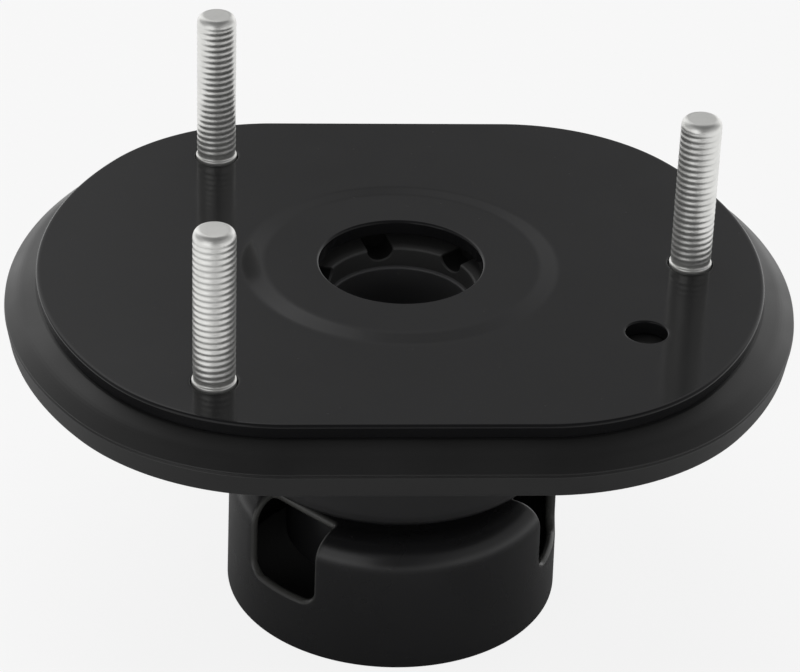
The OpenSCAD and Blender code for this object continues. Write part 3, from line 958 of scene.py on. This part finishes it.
def floor_paper(name, paper, bounce, shade, covered):
    """Matt paper on a table. Outside the covered circle, where the cup stands, the camera sees it mostly as an even
    white with the object's soft shadow; inside the circle the floor is a darker grey, a painted shade under the
    cup. Light that falls back on the object comes from a greyer table. Its white shows in metal and glass too,
    but not in a painted shadow, a soft disc some 16 cm round the object, and far in front only towards the sides,
    a painted fall of light towards the front."""
    material, tree, place = new_material(name)
    # The shadow centre is the middle of a painted shadow on the floor as mirrored
    seen_white, painted_shadow_centre, front_middle = 0.86, (0, -0.02, 0), 0.02
    spot = add(tree, "SeparateXYZ", [place]).outputs
    reach = add(tree, "VectorMath", [place], operation="LENGTH").outputs["Value"]
    bare = add(tree, "Math", [reach, covered], operation="GREATER_THAN")
    seen = add(tree, "Math", [bare, seen_white], operation="MULTIPLY")
    away = add(tree, "VectorMath", [place, painted_shadow_centre], operation="DISTANCE").outputs["Value"]
    across = add(tree, "Math", [spot["X"], front_middle], operation="SUBTRACT")
    across = add(tree, "Math", [across], operation="ABSOLUTE")
    # Painted light and shadow on the floor as mirrored: no white in the disc round the object, far in front only to
    # the sides
    # What each ramp follows, in metres, its start and end, the white at both, and its form
    outside_painted_shadow, beside, near = (
        add(tree, "MapRange", ramp, interpolation_type=form) for *ramp, form in (
            (away, 0.155, 0.178, 0.0, 0.95, "SMOOTHSTEP"),
            (across, 0.1, 0.25, 0.15, 1.0, "LINEAR"),
            (spot["Y"], -0.28, -0.23, 0.0, 1.0, "LINEAR"),
        )
    )
    clear = add(tree, "Math", [beside, near], operation="MAXIMUM")
    clear = add(tree, "Math", [outside_painted_shadow, clear], operation="MULTIPLY")
    share = white_share(tree, seen, clear)
    tone = add(tree, "Mix", {
        "Factor": white_share(tree, bare, 0.0), 6: (*bounce, 1), 7: (*paper, 1),
    }, data_type="RGBA")
    # Painted shade: inside the covered circle the floor takes the darker grey
    tone = add(tree, "Mix", {"Factor": bare, 6: (*shade, 1), 7: tone.outputs[2]}, data_type="RGBA")
    lit = add(tree, "BsdfDiffuse", {"Color": tone.outputs[2]})
    white = add(tree, "Emission", {"Color": (1, 1, 1, 1), "Strength": 1.0})
    mix = add(tree, "MixShader", [share, lit, white])
    add(tree, "OutputMaterial", {"Surface": mix})
    return material


def light_studio(scene):
    """A dim room whose light grows with height and towards the two sides, mostly behind the object, and that the
    camera itself sees as white. A lamp overhead and one in front, both kept out of mirror images, and two soft
    boxes on the left, one low in front and one high behind."""
    world = bpy.data.worlds.new("Studio room")
    world.use_nodes = True
    tree = world.node_tree
    tree.nodes.clear()
    middle, right_sky, seen_white, mirrored_white = 0.085, 0.44, 0.95, 0.03
    way = add(tree, "SeparateXYZ", [add(tree, "TexCoord").outputs["Generated"]]).outputs
    aside = add(tree, "Math", [way["X"], middle], operation="SUBTRACT")
    aside = add(tree, "Math", [aside], operation="ABSOLUTE")
    # The part of the direction that each ramp follows, its start and end, and the light at both
    sky, front, leftwards, wall, low, ahead, zenith = (
        add(tree, "MapRange", ramp) for ramp in (
            (way["Z"], 0.38, 0.65, 0.04, 0.8),
            (way["Y"], 0.3, 0.75, 0.2, 1.0),
            (way["X"], -0.2, 0.25, 1.25, 0.1),
            (aside, 0.05, 0.6, 0.0, 1.5),
            (way["Z"], 0.55, 0.9, 1.0, 0.15),
            (way["Z"], 0.0, 0.2, 0.5, 0.2),
            (way["Z"], 0.6, 0.9, 1.0, 0.4),
        )
    )
    behind = add(tree, "MapRange", [way["Y"], 0.5, 0.9, ahead, 1.0])
    sky = add(tree, "Mix", {0: leftwards, 2: right_sky, 3: sky}, data_type="FLOAT")
    sky = add(tree, "Math", [sky, front], operation="MULTIPLY")
    wall = add(tree, "Math", [wall, low], operation="MULTIPLY")
    room = add(tree, "Math", [wall, behind, sky], operation="MULTIPLY_ADD")
    room = add(tree, "Math", [room, zenith], operation="MULTIPLY")
    white = white_share(tree, seen_white, mirrored_white)
    strength = add(tree, "Mix", {0: white, 2: room, 3: 1.0}, data_type="FLOAT")
    glow = add(tree, "Background", {"Color": (1, 1, 1, 1), "Strength": strength})
    add(tree, "OutputWorld", {"Surface": glow})
    scene.world = world
    lamp_aim = Vector((0, 0, 0.06))
    for name, place, size, watts, mirrored in (
        ("overhead lamp", (-0.1, 0.2, 1.1), (0.8, 0.8), 3.2, False),
        ("front lamp", (0.1, -0.9, 0.3), (0.6, 0.4), 1.3, False),
        ("front softbox", (-0.6, -0.75, 0.28), (0.8, 0.6), 0.9, True),
        ("left softbox", (-0.26, 0.54, 0.75), (0.6, 0.35), 0.2, True),
    ):
        lamp = bpy.data.lights.new(name, "AREA")
        lamp.shape = "RECTANGLE"
        lamp.size, lamp.size_y = size
        lamp.energy = watts
        box = bpy.data.objects.new(name, lamp)
        box.location = place
        box.visible_glossy = mirrored
        box.rotation_euler = (lamp_aim - box.location).to_track_quat("-Z", "Y").to_euler()
        scene.collection.objects.link(box)


def place_camera(scene, stage):
    """Camera on a sphere about its aim, by azimuth from the front and elevation, then rolled about its view."""
    rise, way = stage.elevation, stage.azimuth
    back = Vector((math.sin(way) * math.cos(rise), -math.cos(way) * math.cos(rise), math.sin(rise)))
    right = Vector((0, 0, 1)).cross(back).normalized()
    up = back.cross(right)
    turn = Matrix((right, up, back)).transposed() @ Matrix.Rotation(stage.roll, 3, "Z")
    lens = bpy.data.cameras.new("camera")
    lens.sensor_width = 36
    lens.sensor_fit = "HORIZONTAL"
    lens.lens = stage.lens
    lens.clip_start, lens.clip_end = 0.01, 50
    camera = bpy.data.objects.new("camera", lens)
    camera.matrix_world = Matrix.Translation(Vector(stage.aim) + stage.distance * back) @ turn.to_4x4()
    scene.collection.objects.link(camera)
    scene.camera = camera


PIECES = (
    ("plate", PlateSettings, STRUT_OT_upper_plate),
    ("studs", StudSettings, STRUT_OT_mounting_studs),
    ("pad", PadSettings, STRUT_OT_seat_pad),
    ("housing", HousingSettings, STRUT_OT_housing),
    ("bush", BushSettings, STRUT_OT_rubber_bush),
    ("rod_cup", RodCupSettings, STRUT_OT_rod_cup),
    ("cup", CupSettings, STRUT_OT_bump_cup),
    ("stage", StageSettings, STRUT_OT_stage),
)


@named
class MountSettings(bpy.types.PropertyGroup):
    """All the settings of the strut mount: a group for each piece and one for the stage."""

    __annotations__ = {group: PointerProperty(type=settings) for group, settings, _ in PIECES}


class STRUT_PT_mount(bpy.types.Panel):
    """Lists the pieces and their settings"""

    bl_label = "Strut mount"
    bl_idname = "STRUT_PT_mount"
    bl_space_type = "VIEW_3D"
    bl_region_type = "UI"
    bl_category = "Strut mount"

    def draw(self, context):
        mount = context.scene.strut_mount
        for group, settings, operator in PIECES:
            box = self.layout.box()
            box.operator(operator.bl_idname)
            for name in settings.__annotations__:
                box.prop(getattr(mount, group), name)


CLASSES = (
    *(settings for _, settings, _ in PIECES), MountSettings, *(operator for *_, operator in PIECES), STRUT_PT_mount,
)


def register():
    for made in CLASSES:
        bpy.utils.register_class(made)
    bpy.types.Scene.strut_mount = PointerProperty(type=MountSettings)


def unregister():
    del bpy.types.Scene.strut_mount
    for made in reversed(CLASSES):
        bpy.utils.unregister_class(made)


def main():
    register()
    bpy.ops.strut.upper_plate()
    bpy.ops.strut.mounting_studs()
    bpy.ops.strut.seat_pad()
    bpy.ops.strut.housing()
    bpy.ops.strut.rubber_bush()
    bpy.ops.strut.rod_cup()
    bpy.ops.strut.bump_cup()
    bpy.ops.strut.stage()


if __name__ == "__main__":
    main()
